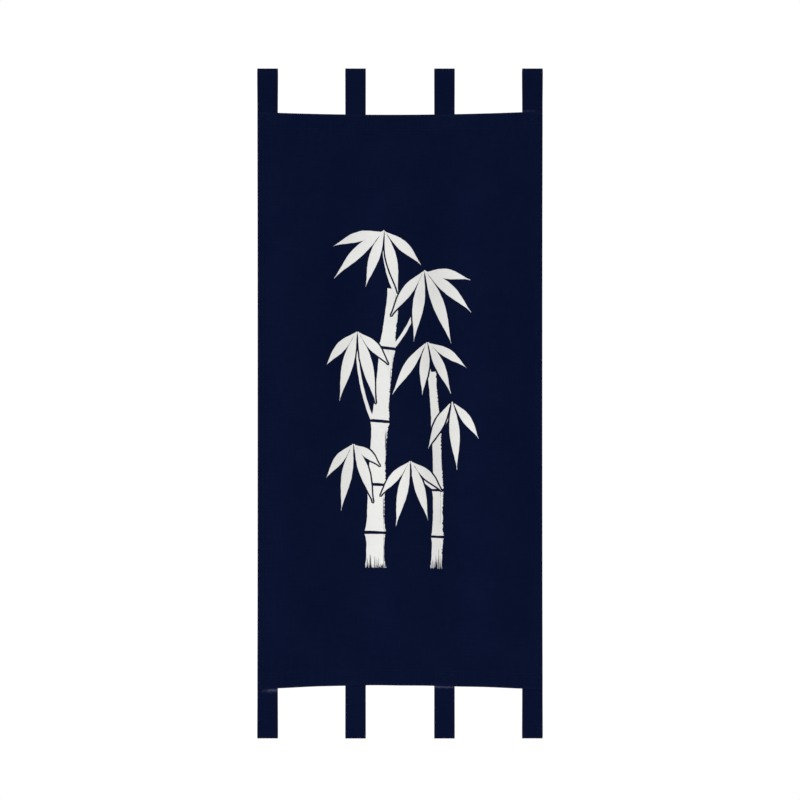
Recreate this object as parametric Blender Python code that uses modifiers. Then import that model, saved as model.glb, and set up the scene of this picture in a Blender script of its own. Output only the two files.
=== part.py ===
"""Noren curtain: one hemmed cloth panel, with four loop tabs sewn behind its top edge and four behind
its bottom edge, in the shape in which it hangs from a rod through the top loops. The rod isn't part of it.

Metres. +Z is up, the front faces -Y, and +X is to the right of someone who looks at the front.
The origin is the middle of the top edge: level with the crowns of the top loops, over the rod's axis.
"""

import math
from collections import namedtuple

import bmesh
import bpy

# The panel
PANEL_WIDTH = 0.600
PANEL_HEIGHT = 1.200  # along the middle of the panel
CLOTH_THICKNESS = 0.0012
HEM_THICKNESS = 0.0022  # the cloth turned under twice
SIDE_HEM = 0.014
END_HEM = 0.034  # the top hem and the bottom hem
HEM_STEP = 0.0015  # the width of the slope from a hem down to the single cloth

# Its outline: the top edge sags and the bottom edge arches between the outer tabs
TOP_SAG = 0.0065
TOP_LOW_X = -0.019
BOTTOM_RISE = 0.0086
BOTTOM_HIGH_X = -0.015
SIDE_DRAW = 0.0005  # how far each side edge is drawn in at half height

# The tabs: strips folded into loops, their two ends sewn behind the hem
TAB_WIDTH = 0.0431
INNER_TAB_X = 0.0935
OUTER_TAB_X = (PANEL_WIDTH - TAB_WIDTH) / 2
TAB_CENTRES = (-OUTER_TAB_X, -INNER_TAB_X, INNER_TAB_X, OUTER_TAB_X)
TAB_THICKNESS = 0.0012
TAB_LAP = 0.029  # how far a tab's ends reach behind the hem
SEAM_CLEAR = 0.003  # how far outside the hem the two plies of a tab still lie together
PLY_GAP = 0.0004  # between a tab's two plies where they are sewn together
SEWN_GAP = 0.0003  # between a tab and the hem that it is sewn to
TOP_REACH = 0.0976  # from the panel's top edge, along its middle, up to the crowns
BOTTOM_REACH = 0.1118  # from its bottom edge, along its middle, down to the crowns
TOP_LOOP_RADIUS = 0.011  # inside the fold, as a rod holds it open
BOTTOM_LOOP_RADIUS = 0.008  # inside the fold, as it hangs empty

# Levels and depths that follow from these
TOP_EDGE_Z = -TOP_REACH
BOTTOM_EDGE_Z = TOP_EDGE_Z - PANEL_HEIGHT
BOTTOM_CROWN_Z = BOTTOM_EDGE_Z - BOTTOM_REACH
FRONT_Y = -(PLY_GAP / 2 + TAB_THICKNESS + SEWN_GAP + HEM_THICKNESS)

# Soft folds that run down the panel: where each starts and ends across it, how far it stands behind the
# panel's plane (in front of it if negative), and half its width. They die out before the stiffer end hems.
Fold = namedtuple("Fold", "top_x bottom_x depth half_width")
FOLDS = (
    Fold(top_x=-0.300, bottom_x=-0.300, depth=0.0030, half_width=0.060),
    Fold(top_x=-0.185, bottom_x=-0.215, depth=-0.0045, half_width=0.090),
    Fold(top_x=-0.095, bottom_x=-0.080, depth=0.0040, half_width=0.075),
    Fold(top_x=0.005, bottom_x=0.030, depth=-0.0040, half_width=0.085),
    Fold(top_x=0.095, bottom_x=0.120, depth=0.0035, half_width=0.070),
    Fold(top_x=0.190, bottom_x=0.215, depth=-0.0045, half_width=0.085),
    Fold(top_x=0.300, bottom_x=0.300, depth=0.0035, half_width=0.055),
)
FOLD_START = 0.190  # the length over which the folds grow below the top hem
FOLD_END = 0.120  # and die out above the bottom hem

# Mesh steps
PANEL_COLUMNS = 32
PANEL_ROWS = 36
LEG_STEPS = 9
CROWN_STEPS = 12

NAVY = (0.0040, 0.0075, 0.0280, 1.0)
CLOTH_ROUGHNESS = 0.85
SHARP_ANGLE = math.radians(35)


def remove_everything():
    for old in list(bpy.data.objects):
        bpy.data.objects.remove(old, do_unlink=True)


def collection(name):
    made = bpy.data.collections.new(name)
    bpy.context.scene.collection.children.link(made)
    return made


def cloth(name):
    """A matt woven cloth in the panel's navy."""
    made = bpy.data.materials.new(name)
    made.use_nodes = True
    shader = made.node_tree.nodes["Principled BSDF"]
    shader.inputs["Base Color"].default_value = NAVY
    shader.inputs["Roughness"].default_value = CLOTH_ROUGHNESS
    shader.inputs["Metallic"].default_value = 0.0
    return made


def eased(t):
    """0 below 0, 1 above 1, and a smooth rise between them."""
    t = min(max(t, 0.0), 1.0)
    return t * t * (3 - 2 * t)


def top_edge(x):
    return TOP_EDGE_Z + TOP_SAG * ((x - TOP_LOW_X) / (PANEL_WIDTH / 2)) ** 2


def bottom_edge(x):
    return BOTTOM_EDGE_Z - BOTTOM_RISE * ((x - BOTTOM_HIGH_X) / (PANEL_WIDTH / 2)) ** 2


def fold_depth(x, v):
    """How far behind the panel's plane the cloth lies at x, at the share v of the way up."""
    below, above = v * PANEL_HEIGHT, (1 - v) * PANEL_HEIGHT
    strength = eased((below - END_HEM) / FOLD_END) * eased((above - END_HEM) / FOLD_START)
    depth = 0.0
    for fold in FOLDS:
        middle = fold.bottom_x + v * (fold.top_x - fold.bottom_x)
        away = abs(x - middle) / fold.half_width
        if away < 1:
            depth += fold.depth * (1 + math.cos(math.pi * away)) / 2
    return strength * depth


def panel_point(u, v):
    """The front face at u across, from -1 to 1, and v up, from 0 to 1."""
    drawn_in = SIDE_DRAW * (1 - (2 * v - 1) ** 2)
    x = u * (PANEL_WIDTH / 2 - drawn_in)
    z = bottom_edge(x) + v * (top_edge(x) - bottom_edge(x))
    return x, FRONT_Y + fold_depth(x, v), z


def stations(length, hem, count):
    """Places along an edge: its ends, both sides of each hem's step, and count even steps between the hems."""
    start, stop = hem + HEM_STEP, length - hem - HEM_STEP
    even = [start + (stop - start) * i / count for i in range(count + 1)]
    return [0.0, hem, *even, length - hem, length]


def laid_grid(columns, rows, place):
    """A grid of columns by rows as a bmesh, with each point moved to place(column, row)."""
    shape = bmesh.new()
    bmesh.ops.create_grid(shape, x_segments=columns, y_segments=rows, size=0.5)
    for vert in shape.verts:
        vert.co = place(round((vert.co.x + 0.5) * columns), round((vert.co.y + 0.5) * rows))
    return shape


def thick_cloth(parts, name, shape, thickness, towards_normals):
    """An object of that shape, and the Solidify modifier that gives the cloth its thickness."""
    mesh = bpy.data.meshes.new(name)
    shape.to_mesh(mesh)
    shape.free()
    mesh.materials.append(cloth(name + "_cloth"))
    mesh.shade_smooth()
    mesh.set_sharp_from_angle(angle=SHARP_ANGLE)
    made = bpy.data.objects.new(name, mesh)
    parts.objects.link(made)
    solidify = made.modifiers.new("thickness", "SOLIDIFY")
    solidify.thickness = thickness
    solidify.offset = 1.0 if towards_normals else -1.0
    return made, solidify


def make_panel(parts):
    """A grid laid over the front face, thickened towards the back: in full at the hems, less between them."""
    across = stations(PANEL_WIDTH, SIDE_HEM, PANEL_COLUMNS)
    up = stations(PANEL_HEIGHT, END_HEM, PANEL_ROWS)

    def place(column, row):
        return panel_point(2 * across[column] / PANEL_WIDTH - 1, up[row] / PANEL_HEIGHT)

    shape = laid_grid(len(across) - 1, len(up) - 1, place)
    panel, solidify = thick_cloth(parts, "panel", shape, HEM_THICKNESS, towards_normals=False)
    share = panel.vertex_groups.new(name="share_of_hem_thickness")
    solidify.vertex_group = share.name
    inside = [
        row * len(across) + column
        for row in range(2, len(up) - 2)
        for column in range(2, len(across) - 2)
    ]
    share.add(range(len(panel.data.vertices)), 1.0, "REPLACE")
    share.add(inside, CLOTH_THICKNESS / HEM_THICKNESS, "REPLACE")


def loop_line(radius, joined, end):
    """The inside of a loop in its own frame, crown up at z = 0: up the front ply, over and down the back one.

    From the strip's ends, at depth end below the crown, the two plies lie PLY_GAP apart. Above the depth
    joined they part and ease into the round fold.
    """
    centre_z = -(TAB_THICKNESS + radius)
    leg = [(PLY_GAP / 2, -end)]
    for i in range(LEG_STEPS):
        t = i / LEG_STEPS
        parted = (t + eased(t)) / 2
        half_gap = PLY_GAP / 2 + parted * (radius - PLY_GAP / 2)
        leg.append((half_gap, -joined + t * (joined + centre_z)))
    front = [(-y, z) for y, z in leg]
    crown = []
    for i in range(CROWN_STEPS + 1):
        turn = math.pi * i / CROWN_STEPS
        crown.append((-radius * math.cos(turn), centre_z + radius * math.sin(turn)))
    return front + crown + leg[::-1]


def make_tab(parts, name, x, radius, edge, crown_z, points_up):
    """One loop tab: its line swept across the tab's width, thickened on the outside of the loop.

    edge gives the height of the panel's edge at x, which curves a little across the tab.
    """
    nearest = min(abs(edge(x + side * TAB_WIDTH / 2) - crown_z) for side in (-1, 1))
    end = abs(edge(x) - crown_z) + TAB_LAP
    line = loop_line(radius, nearest - SEAM_CLEAR, end)

    def place(column, row):
        return (column - 0.5) * TAB_WIDTH, *line[row]

    shape = laid_grid(1, len(line) - 1, place)
    tab, solidify = thick_cloth(parts, name, shape, TAB_THICKNESS, towards_normals=True)
    solidify.use_even_offset = True
    tab.location = (x, 0, crown_z)
    tab.rotation_euler = (0, 0 if points_up else math.pi, 0)


def make_noren():
    parts = collection("noren_curtain")
    make_panel(parts)
    for number, x in enumerate(TAB_CENTRES, start=1):
        make_tab(parts, f"top_tab_{number}", x, TOP_LOOP_RADIUS, top_edge, 0.0, True)
        make_tab(parts, f"bottom_tab_{number}", x, BOTTOM_LOOP_RADIUS, bottom_edge, BOTTOM_CROWN_Z, False)


remove_everything()
make_noren()
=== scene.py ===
# %% [markdown]
# # A noren: a cloth that hangs in a doorway
# A noren is a curtain that people walk through or past. This one is a single hemmed panel of heavy navy
# cotton. Four loops along its top edge take the rod that it hangs from, and four more along its bottom
# edge take a second rod or a cord. Everything here is in metres: X runs to the right of someone who looks
# at the printed front, Z is up, and the front faces -Y. The frame below holds the plain solids of the same
# nine pieces, and each piece of cloth that is made here is laid over its own solid.

# %% The frame
import math
from collections import namedtuple

import bpy
import numpy as np
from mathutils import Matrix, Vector


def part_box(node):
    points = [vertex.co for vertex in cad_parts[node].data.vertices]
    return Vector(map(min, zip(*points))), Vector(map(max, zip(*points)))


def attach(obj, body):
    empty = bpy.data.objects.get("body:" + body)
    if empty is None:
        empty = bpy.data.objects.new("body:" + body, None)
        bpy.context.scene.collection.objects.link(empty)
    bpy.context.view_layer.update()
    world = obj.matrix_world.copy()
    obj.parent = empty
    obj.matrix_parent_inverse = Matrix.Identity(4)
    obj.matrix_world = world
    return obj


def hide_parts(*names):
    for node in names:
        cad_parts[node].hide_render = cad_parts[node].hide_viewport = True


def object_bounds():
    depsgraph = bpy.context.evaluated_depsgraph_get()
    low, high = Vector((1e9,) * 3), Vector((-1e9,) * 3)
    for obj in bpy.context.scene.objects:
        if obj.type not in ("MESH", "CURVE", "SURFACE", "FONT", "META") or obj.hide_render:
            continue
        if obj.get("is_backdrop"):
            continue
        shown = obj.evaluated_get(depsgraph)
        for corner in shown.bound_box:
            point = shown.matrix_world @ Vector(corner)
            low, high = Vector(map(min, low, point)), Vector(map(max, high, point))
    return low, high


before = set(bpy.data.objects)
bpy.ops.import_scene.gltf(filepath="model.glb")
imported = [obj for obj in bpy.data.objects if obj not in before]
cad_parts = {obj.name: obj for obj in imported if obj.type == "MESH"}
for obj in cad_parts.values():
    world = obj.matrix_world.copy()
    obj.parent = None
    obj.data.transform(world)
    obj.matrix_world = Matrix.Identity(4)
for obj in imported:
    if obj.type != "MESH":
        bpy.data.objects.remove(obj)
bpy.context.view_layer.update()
print("pieces in the frame:", ", ".join(sorted(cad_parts)))

# %% [markdown]
# ## Sizes
# The panel and the loops take their sizes from the frame's boxes. What a box can't say is repeated here as
# named sizes: how far the top edge sags, how far the bottom edge arches, and how thick the cloth is. The
# cloth is thinner than the solids, which stand in for it with a millimetre or more, so that it lies within
# them.

# %% Sizes of the panel and its outline
PANEL_LOW, PANEL_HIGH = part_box("panel")
PANEL_WIDTH = round(PANEL_HIGH.x - PANEL_LOW.x, 4)
PANEL_HEIGHT = 1.200  # along the middle
TOP_EDGE_Z = -0.0976
BOTTOM_EDGE_Z = TOP_EDGE_Z - PANEL_HEIGHT
TOP_SAG, TOP_LOW_X = 0.0065, -0.019
BOTTOM_RISE, BOTTOM_HIGH_X = 0.0086, -0.015
BOTTOM_WAVES = ((0.00045, 0.38, 0.0), (0.00020, 0.12, 0.25))  # height, length, and start as a share of it
SIDE_DRAW = 0.0005  # each side edge is drawn in by this at half height

SINGLE = 0.0008  # one layer of the cloth
HEM = 0.0017  # the cloth turned under twice
CORNER = 0.0003  # what a side hem adds where the end hem is folded over it
SIDE_HEM, END_HEM = 0.014, 0.034  # widths of the hems
HEM_STEP = 0.0012  # the width of the step from a hem down to the single cloth
HEM_PROUD = 0.00022  # how far a hem's front stands in front of the single cloth's
FRONT_Y = -0.0034  # the front face at the hems


def top_edge(x):
    """The top edge's height: a parabola, lowest at TOP_LOW_X."""
    return TOP_EDGE_Z + TOP_SAG * ((x - TOP_LOW_X) / (PANEL_WIDTH / 2)) ** 2


def bottom_edge(x):
    """The bottom edge's height: a parabola, highest at BOTTOM_HIGH_X, less two waves that hardly show."""
    waves = sum(height * np.sin(2 * np.pi * (x / length + start)) for height, length, start in BOTTOM_WAVES)
    return BOTTOM_EDGE_Z - BOTTOM_RISE * ((x - BOTTOM_HIGH_X) / (PANEL_WIDTH / 2)) ** 2 - waves


low, high = float(bottom_edge(PANEL_WIDTH / 2)), float(top_edge(PANEL_WIDTH / 2))
print(f"panel from z {low:.4f} to {high:.4f}, its solid from {PANEL_LOW.z:.4f} to {PANEL_HIGH.z:.4f}")

# %% [markdown]
# ## Two curves that everything uses
# Almost nothing on cloth starts or stops suddenly. One smooth rise and one smooth hill, both worked on
# whole arrays, are enough for every change of thickness, fold and crease below.

# %% A rise and a hill


def eased(t):
    """0 below 0, 1 above 1, with the smooth rise 3t² - 2t³ between them."""
    t = np.clip(t, 0, 1)
    return t * t * (3 - 2 * t)


def hill(t):
    """1 at t = 0, falling along a cosine to 0 at t = -1 and t = 1."""
    return np.where(np.abs(t) < 1, (1 + np.cos(np.pi * np.clip(t, -1, 1))) / 2, 0)


print("rise at a quarter, half and three quarters:", eased(np.array([0.25, 0.5, 0.75])))

# %% [markdown]
# ## Hems and layers
# The side hems are turned first, and the end hems over them, so the corners are thickest. Places on the
# panel are given as across, in metres from its left edge, and up, in metres from its bottom edge.

# %% How thick the panel is


def from_edges(across, up):
    """The distances to the nearer side edge and to the nearer end edge."""
    return np.minimum(across, PANEL_WIDTH - across), np.minimum(up, PANEL_HEIGHT - up)


def hem_shares(across, up):
    """1 in a side hem and 1 in an end hem, each easing to 0 over the hem's inner step."""
    from_side, from_end = from_edges(across, up)
    return 1 - eased((from_side - SIDE_HEM) / HEM_STEP), 1 - eased((from_end - END_HEM) / HEM_STEP)


def layers(across, up):
    """The thickness: one layer, more in a hem, and a little more still where two hems cross."""
    side, end = hem_shares(across, up)
    return SINGLE + (HEM - SINGLE) * np.maximum(side, end) + CORNER * side * end


print(f"{1000 * layers(0.3, 0.6):.1f} mm in the middle, {1000 * layers(0.001, 0.001):.1f} mm at a corner")

# %% [markdown]
# ## How the panel hangs
# A panel that is as wide as its rod isn't gathered, so it hangs nearly flat. What breaks the flatness is
# small: soft folds that run down from the loops, a shallow crease under each loop where the weight pulls,
# and a little waviness where the hem's stitching has drawn the cloth in. Each is one term in a sum that
# gives how far the front face lies behind the plane of the hems.

# %% The folds
Fold = namedtuple("Fold", "top_x bottom_x depth half_width")  # depth is negative in front of the plane
FOLDS = (
    Fold(top_x=-0.300, bottom_x=-0.300, depth=0.0030, half_width=0.060),
    Fold(top_x=-0.185, bottom_x=-0.215, depth=-0.0045, half_width=0.090),
    Fold(top_x=-0.095, bottom_x=-0.080, depth=0.0040, half_width=0.075),
    Fold(top_x=0.005, bottom_x=0.030, depth=-0.0040, half_width=0.085),
    Fold(top_x=0.095, bottom_x=0.120, depth=0.0035, half_width=0.070),
    Fold(top_x=0.190, bottom_x=0.215, depth=-0.0045, half_width=0.085),
    Fold(top_x=0.300, bottom_x=0.300, depth=0.0035, half_width=0.055),
)
FOLD_START, FOLD_END = 0.190, 0.120  # lengths over which the folds grow and die out, past the end hems


def folds(x, up):
    """The sum of the hills of all folds, which fades to nothing towards the stiff end hems."""
    v = up / PANEL_HEIGHT
    strength = eased((up - END_HEM) / FOLD_END) * eased((PANEL_HEIGHT - up - END_HEM) / FOLD_START)
    middles = [fold.bottom_x + v * (fold.top_x - fold.bottom_x) for fold in FOLDS]
    return strength * sum(fold.depth * hill((x - mid) / fold.half_width) for fold, mid in zip(FOLDS, middles))


print(f"{len(FOLDS)} folds, up to {1000 * max(abs(fold.depth) for fold in FOLDS):.1f} mm deep")

# %% Creases under the loops
TAB_LOWS, TAB_HIGHS = zip(*(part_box(f"top_tab_{number}") for number in range(1, 5)))
TAB_CENTRES = [(low.x + high.x) / 2 for low, high in zip(TAB_LOWS, TAB_HIGHS)]
TAB_WIDTH = TAB_HIGHS[0].x - TAB_LOWS[0].x

PULL_DEPTH, PULL_REACH = 0.0012, 0.110  # of the crease under each loop
PULL_START, PULL_RISE = 0.010, 0.030  # where it starts, from the edge, and the length over which it rises
PULL_WIDTH, PULL_SPREAD = 0.013, 0.20  # its half width at the edge, and how fast that grows
BOTTOM_PULL = 0.4  # the bottom loops pull less, as a share


def pulls(x, away):
    """A ridge under each loop, which fades as exp(-away/reach) from the edge and widens as it goes."""
    rise = eased((away - PULL_START) / PULL_RISE) * np.exp(-away / PULL_REACH)
    ridges = [np.exp(-(((x - middle) / (PULL_WIDTH + PULL_SPREAD * away)) ** 2)) for middle in TAB_CENTRES]
    return -PULL_DEPTH * rise * sum(ridges)


print(f"60 mm under a loop, the crease stands {-1000 * pulls(TAB_CENTRES[1], 0.060):.2f} mm proud")

# %% Puckers and slack
PUCKER_DEPTH, PUCKER_LENGTH = 0.00028, 0.021  # of the waves along a hem
PUCKER_REACH = 1.6  # how far they reach to both sides of the hem's inner fold, in hem widths
PUCKER_WANDER = ((1.9, 0.047, 0.0), (1.3, 0.0291, 2.0))  # the swings of their phase
PUCKER_MEAN, PUCKER_SWELL = 0.6, ((0.4, 0.083, 1.0),)  # their height, as a share, and its swings
SLACK_DEPTH, SLACK_RISE = 0.00032, 0.060  # the rise is the length over which it grows, past the end hems
SLACK_WAVES = ((1.0, 0.061, 0.190, 0.0), (0.7, 0.037, -0.260, 1.3), (0.6, 0.140, 0.083, 0.4))


def swings(place, waves):
    """The sum of height * sin(place / length + start) over waves given by those three numbers."""
    return sum(height * np.sin(place / length + start) for height, length, start in waves)


def puckers(along, into, hem):
    """Waves along a hem, highest at its inner fold: the sine of a wandering phase times a swinging height."""
    phase = 2 * np.pi * along / PUCKER_LENGTH + swings(along, PUCKER_WANDER)
    height = PUCKER_MEAN + swings(along, PUCKER_SWELL)
    return PUCKER_DEPTH * height * np.sin(phase) * hill((into - hem) / (PUCKER_REACH * hem))


def slack(x, up):
    """The unevenness of a cloth that has been handled: three long, slanting waves, none near the end hems."""
    waves = sum(size * np.sin(x / across + up / along + start) for size, across, along, start in SLACK_WAVES)
    from_end = np.minimum(up, PANEL_HEIGHT - up)
    return SLACK_DEPTH * waves * eased((from_end - END_HEM) / SLACK_RISE)


deepest = SLACK_DEPTH * sum(size for size, *_ in SLACK_WAVES)
print(f"puckers are up to {1000 * PUCKER_DEPTH:.2f} mm deep, and the slack up to {1000 * deepest:.2f} mm")

# %% The panel's two faces


def panel_front(across, up):
    """The front face as x, y, z: the outline gives x and z, and the sum of all folds and waves gives y."""
    v, u = up / PANEL_HEIGHT, 2 * across / PANEL_WIDTH - 1
    x = u * (PANEL_WIDTH / 2 - SIDE_DRAW * (1 - (2 * v - 1) ** 2))
    z = bottom_edge(x) + v * (top_edge(x) - bottom_edge(x))
    from_side, from_end = from_edges(across, up)
    y = FRONT_Y + folds(x, up) + pulls(x, PANEL_HEIGHT - up) + BOTTOM_PULL * pulls(x, up) + slack(x, up)
    y = y + puckers(across, from_end, END_HEM) + puckers(up, from_side, SIDE_HEM)
    y = y + HEM_PROUD * (1 - np.maximum(*hem_shares(across, up)))
    return np.stack([x, y, z], -1)


def panel_back(across, up):
    """The back face: the front face moved back by the cloth's thickness there."""
    point = panel_front(across, up)
    point[..., 1] += layers(across, up)
    return point


y = panel_front(*np.meshgrid(np.linspace(0, PANEL_WIDTH, 200), np.linspace(0, PANEL_HEIGHT, 400)))[..., 1]
print("the front lies from", *(1000 * (np.array([y.min(), y.max()]) - FRONT_Y)).round(1), "mm off its plane")

# %% [markdown]
# ## Cloth with a thickness
# Cloth could be made as a bare grid with a Solidify modifier, but then its rim is a sharp box. A folded
# hem is round. So each piece of cloth is two grids, one in front of a middle surface and one behind it.
# They share their outermost points, and near the rim the half thickness follows a quarter circle down to
# nothing. The two grids then close into one rounded solid, and the thickness can differ from place to
# place: more at a hem, a little less along a seam.

# %% Places along an edge
EDGE_STEPS = (0.0, 0.06, 0.25, 0.6, 1.0)  # places of the points round a rim, in shares of its radius
ROUNDING = 1e-9  # keeps an error in the last digit from adding a step


def spaced(start, stop, step):
    """Even places from start up to, but not with, stop, at most step apart."""
    return np.linspace(start, stop, max(1, math.ceil(abs(stop - start) / step - ROUNDING)), endpoint=False)


def mirrored(half, length):
    """Places from 0 to length, from those of the first half, which end half a step short of the middle."""
    return np.concatenate([half, length - half[::-1]])


def quarter_round(distance, radius):
    """0 at the rim and 1 from radius inwards, along the quarter circle sqrt(1 - (1 - d/r)²)."""
    return np.sqrt(1 - (1 - np.clip(distance / radius, 0, 1)) ** 2)


print("heights of the points round a rim:", quarter_round(np.array(EDGE_STEPS), 1).round(2))

# %% Meshes


def smooth_mesh(name, points, faces):
    """A mesh with these points and faces, which all have the same number of corners, shaded smooth."""
    mesh = bpy.data.meshes.new(name)
    mesh.vertices.add(len(points))
    mesh.vertices.foreach_set("co", points.astype(np.float32).ravel())
    mesh.loops.add(faces.size)
    mesh.loops.foreach_set("vertex_index", faces.astype(np.int32).ravel())
    mesh.polygons.add(len(faces))
    mesh.polygons.foreach_set("loop_start", np.arange(0, faces.size, faces.shape[1], dtype=np.int32))
    mesh.update(calc_edges=True)
    mesh.validate()
    mesh.shade_smooth()
    return mesh


def placed(name, data):
    """An object in the scene that holds this mesh, camera or lamp."""
    thing = bpy.data.objects.new(name, data)
    bpy.context.scene.collection.objects.link(thing)
    return thing


def shown(name, mesh, material):
    """An object at the origin that shows the mesh in that material."""
    mesh.materials.append(material)
    return placed(name, mesh)


def keep_values(mesh, name, values):
    """Stores one number a point, which a material reads by name."""
    mesh.attributes.new(name, "FLOAT", "POINT").data.foreach_set("value", values.astype(np.float32).ravel())


# %% Closed sheets


def unit(vectors):
    """Each vector divided by its length."""
    return vectors / np.linalg.norm(vectors, axis=-1, keepdims=True)


def two_sided(grid_values, behind_values=None):
    """Values for a closed sheet's points: the front grid's, then the inner points' of the back grid."""
    behind_values = grid_values if behind_values is None else behind_values
    width = grid_values.shape[2:]
    return np.concatenate([grid_values.reshape(-1, *width), behind_values[1:-1, 1:-1].reshape(-1, *width)])


def halved_cells(number):
    """Two triangles for each cell of a grid of point numbers, parted by the diagonal that points outwards.

    In a corner cell it starts on the grid's corner, so that neither triangle has all its points on the rim.
    """
    a, b, c, d = number[:-1, :-1], number[:-1, 1:], number[1:, 1:], number[1:, :-1]
    rows, columns = a.shape
    rising = (np.arange(rows)[:, None] < rows / 2) == (np.arange(columns) < columns / 2)
    by_rising, by_falling = np.stack([a, b, c, a, c, d], -1), np.stack([a, b, d, b, c, d], -1)
    return np.where(rising[..., None], by_rising, by_falling).reshape(-1, 3)


def closed_sheet(name, middle, half, cloth_map):
    """A closed sheet: middle + normal * half in front and middle - normal * half behind, joined at the rim.

    The normal is the cross product of the grid's steps along its columns and its rows. half is 0 on the rim.
    cloth_map is each point's place on the flat cloth, in metres, kept as a UV map.
    """
    rows, columns = half.shape
    normal = unit(np.cross(np.gradient(middle, axis=1), np.gradient(middle, axis=0)))
    front, behind = middle + normal * half[..., None], middle - normal * half[..., None]
    number = np.arange(rows * columns).reshape(rows, columns)
    number_behind = number.copy()
    number_behind[1:-1, 1:-1] = rows * columns + np.arange((rows - 2) * (columns - 2)).reshape(rows - 2, -1)
    faces = np.concatenate([halved_cells(number), halved_cells(number_behind)[:, ::-1]])
    mesh = smooth_mesh(name, two_sided(front, behind), faces)
    layer = mesh.uv_layers.new(name="cloth_map")
    layer.data.foreach_set("uv", two_sided(cloth_map)[faces.ravel()].astype(np.float32).ravel())
    return mesh


print("a grid of one cell becomes the triangles", *halved_cells(np.arange(4).reshape(2, 2)).tolist())

# %% [markdown]
# ## The panel's grid
# The grid is fine round the rim and across each seam, because a seam is a groove a millimetre wide. In
# between, a point every five millimetres is enough for the folds and the puckers.

# %% Where the panel's points lie
RIM = HEM / 2
STEP = 0.0050
SEAM_INSET = 0.0024  # the seam lies this far outside the hem's inner fold
SEAM_STEPS = (-0.0014, -0.0006, 0.0, 0.0006, 0.0014)
PAST_STEP = 0.002  # from a hem's step to where the even points start


def from_edge(hem, length):
    """Places from an edge to the middle: the rim, the hem, its seam, its step, and the single cloth."""
    rim = RIM * np.array(EDGE_STEPS)
    seam = hem - SEAM_INSET + np.array(SEAM_STEPS)
    step = (hem, hem + HEM_STEP / 2, hem + HEM_STEP)
    inside = spaced(hem + HEM_STEP + PAST_STEP, (length + STEP) / 2, STEP)
    return np.concatenate([rim, spaced(RIM, seam[0], STEP)[1:], seam, step, inside])


across_places = mirrored(from_edge(SIDE_HEM, PANEL_WIDTH), PANEL_WIDTH)
up_places = mirrored(from_edge(END_HEM, PANEL_HEIGHT), PANEL_HEIGHT)
across, up = np.meshgrid(across_places, up_places)
print(f"panel grid: {across.shape[1]} by {across.shape[0]} points, about {4 * across.size} triangles")

# %% Seams sink into the cloth
GROOVE_DEPTH, GROOVE_WIDTH = 0.00028, 0.0009


def groove(distance, width=GROOVE_WIDTH):
    """How deep a seam's thread has sunk at that distance from it, from 1 on the seam: exp(-(d/w)²)."""
    return np.exp(-((distance / width) ** 2))


from_side, from_end = from_edges(across, up)
rim_distance = np.minimum(from_side, from_end)
seam_side = groove(from_side - SIDE_HEM + SEAM_INSET) * (1 - hem_shares(across, up)[1])
seam_end = groove(from_end - END_HEM + SEAM_INSET)
thickness = layers(across, up) - GROOVE_DEPTH * np.maximum(seam_side, seam_end)
print(f"from {1000 * thickness.min():.2f} to {1000 * thickness.max():.2f} mm thick")

# %% [markdown]
# ## The print
# The front carries a resist-dyed design: bamboo left white while the rest of the cloth took the navy. A dyer
# lays rice paste on the cloth with a brush, and dyes it afterwards. So the design is a list of brush strokes
# here too, in metres from the middle of the panel: two bamboo canes in lengths with gaps at the joints, the
# twigs that leave them, and sprays of leaves that part from the end of each twig. The line of every stroke
# is a shallow parabola.

# %% The design
Culm = namedtuple("Culm", "foot top bow foot_width top_width joints")  # joints are shares of the way up
Twig = namedtuple("Twig", "start end bow width")
Spray = namedtuple("Spray", "root width in_front leaves")  # a leaf is its turn from straight down, its length

CULMS = (
    Culm((-0.052, -0.356), (-0.010, 0.236), 0.012, 0.045, 0.030, (0.0, 0.13, 0.30, 0.525, 0.785, 1.0)),
    Culm((0.076, -0.356), (0.066, 0.062), -0.008, 0.026, 0.018, (0.0, 0.165, 0.40, 0.69, 1.0)),
)
TWIGS = (
    Twig((-0.010, 0.228), (-0.034, 0.352), 0.008, 0.0080),
    Twig((-0.011, 0.114), (0.052, 0.270), -0.012, 0.0070),
    Twig((-0.059, -0.040), (-0.090, 0.142), 0.010, 0.0070),
    Twig((0.066, 0.050), (0.058, 0.120), 0.005, 0.0070),
    Twig((0.082, -0.064), (0.110, -0.006), -0.005, 0.0060),
    Twig((-0.068, -0.174), (-0.098, -0.094), 0.006, 0.0064),
    Twig((0.069, -0.184), (0.022, -0.130), 0.005, 0.0058),
)
SPRAYS = (
    Spray((-0.034, 0.356), 0.0205, False, ((-74, 0.106), (-46, 0.142), (-18, 0.124), (12, 0.132), (47, 0.1))),
    Spray((0.052, 0.272), 0.0210, True, ((-36, 0.112), (-8, 0.148), (20, 0.164), (48, 0.128), (80, 0.092))),
    Spray((-0.090, 0.144), 0.0205, False, ((-42, 0.090), (-14, 0.148), (14, 0.154), (43, 0.088))),
    Spray((0.058, 0.122), 0.0190, False, ((-33, 0.126), (-5, 0.110), (24, 0.116), (57, 0.092))),
    Spray((0.110, -0.004), 0.0190, True, ((-26, 0.104), (4, 0.142), (35, 0.088))),
    Spray((-0.098, -0.092), 0.0195, False, ((-38, 0.084), (-10, 0.140), (18, 0.128), (50, 0.066))),
    Spray((0.022, -0.128), 0.0190, True, ((-40, 0.090), (-12, 0.138), (16, 0.128), (46, 0.084))),
)
print(f"{len(CULMS)} culms, {len(TWIGS)} twigs and {sum(len(spray.leaves) for spray in SPRAYS)} leaves")

# %% [markdown]
# ## From strokes to numbers
# The material will draw each stroke with a node group, which has to know a few numbers about it. This is
# where they are worked out, so that the nodes have as little as possible to do: a place on the cloth less
# the stroke's start, times Along, is the share of the way along it, and times Left its distance from the
# straight line.

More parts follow.
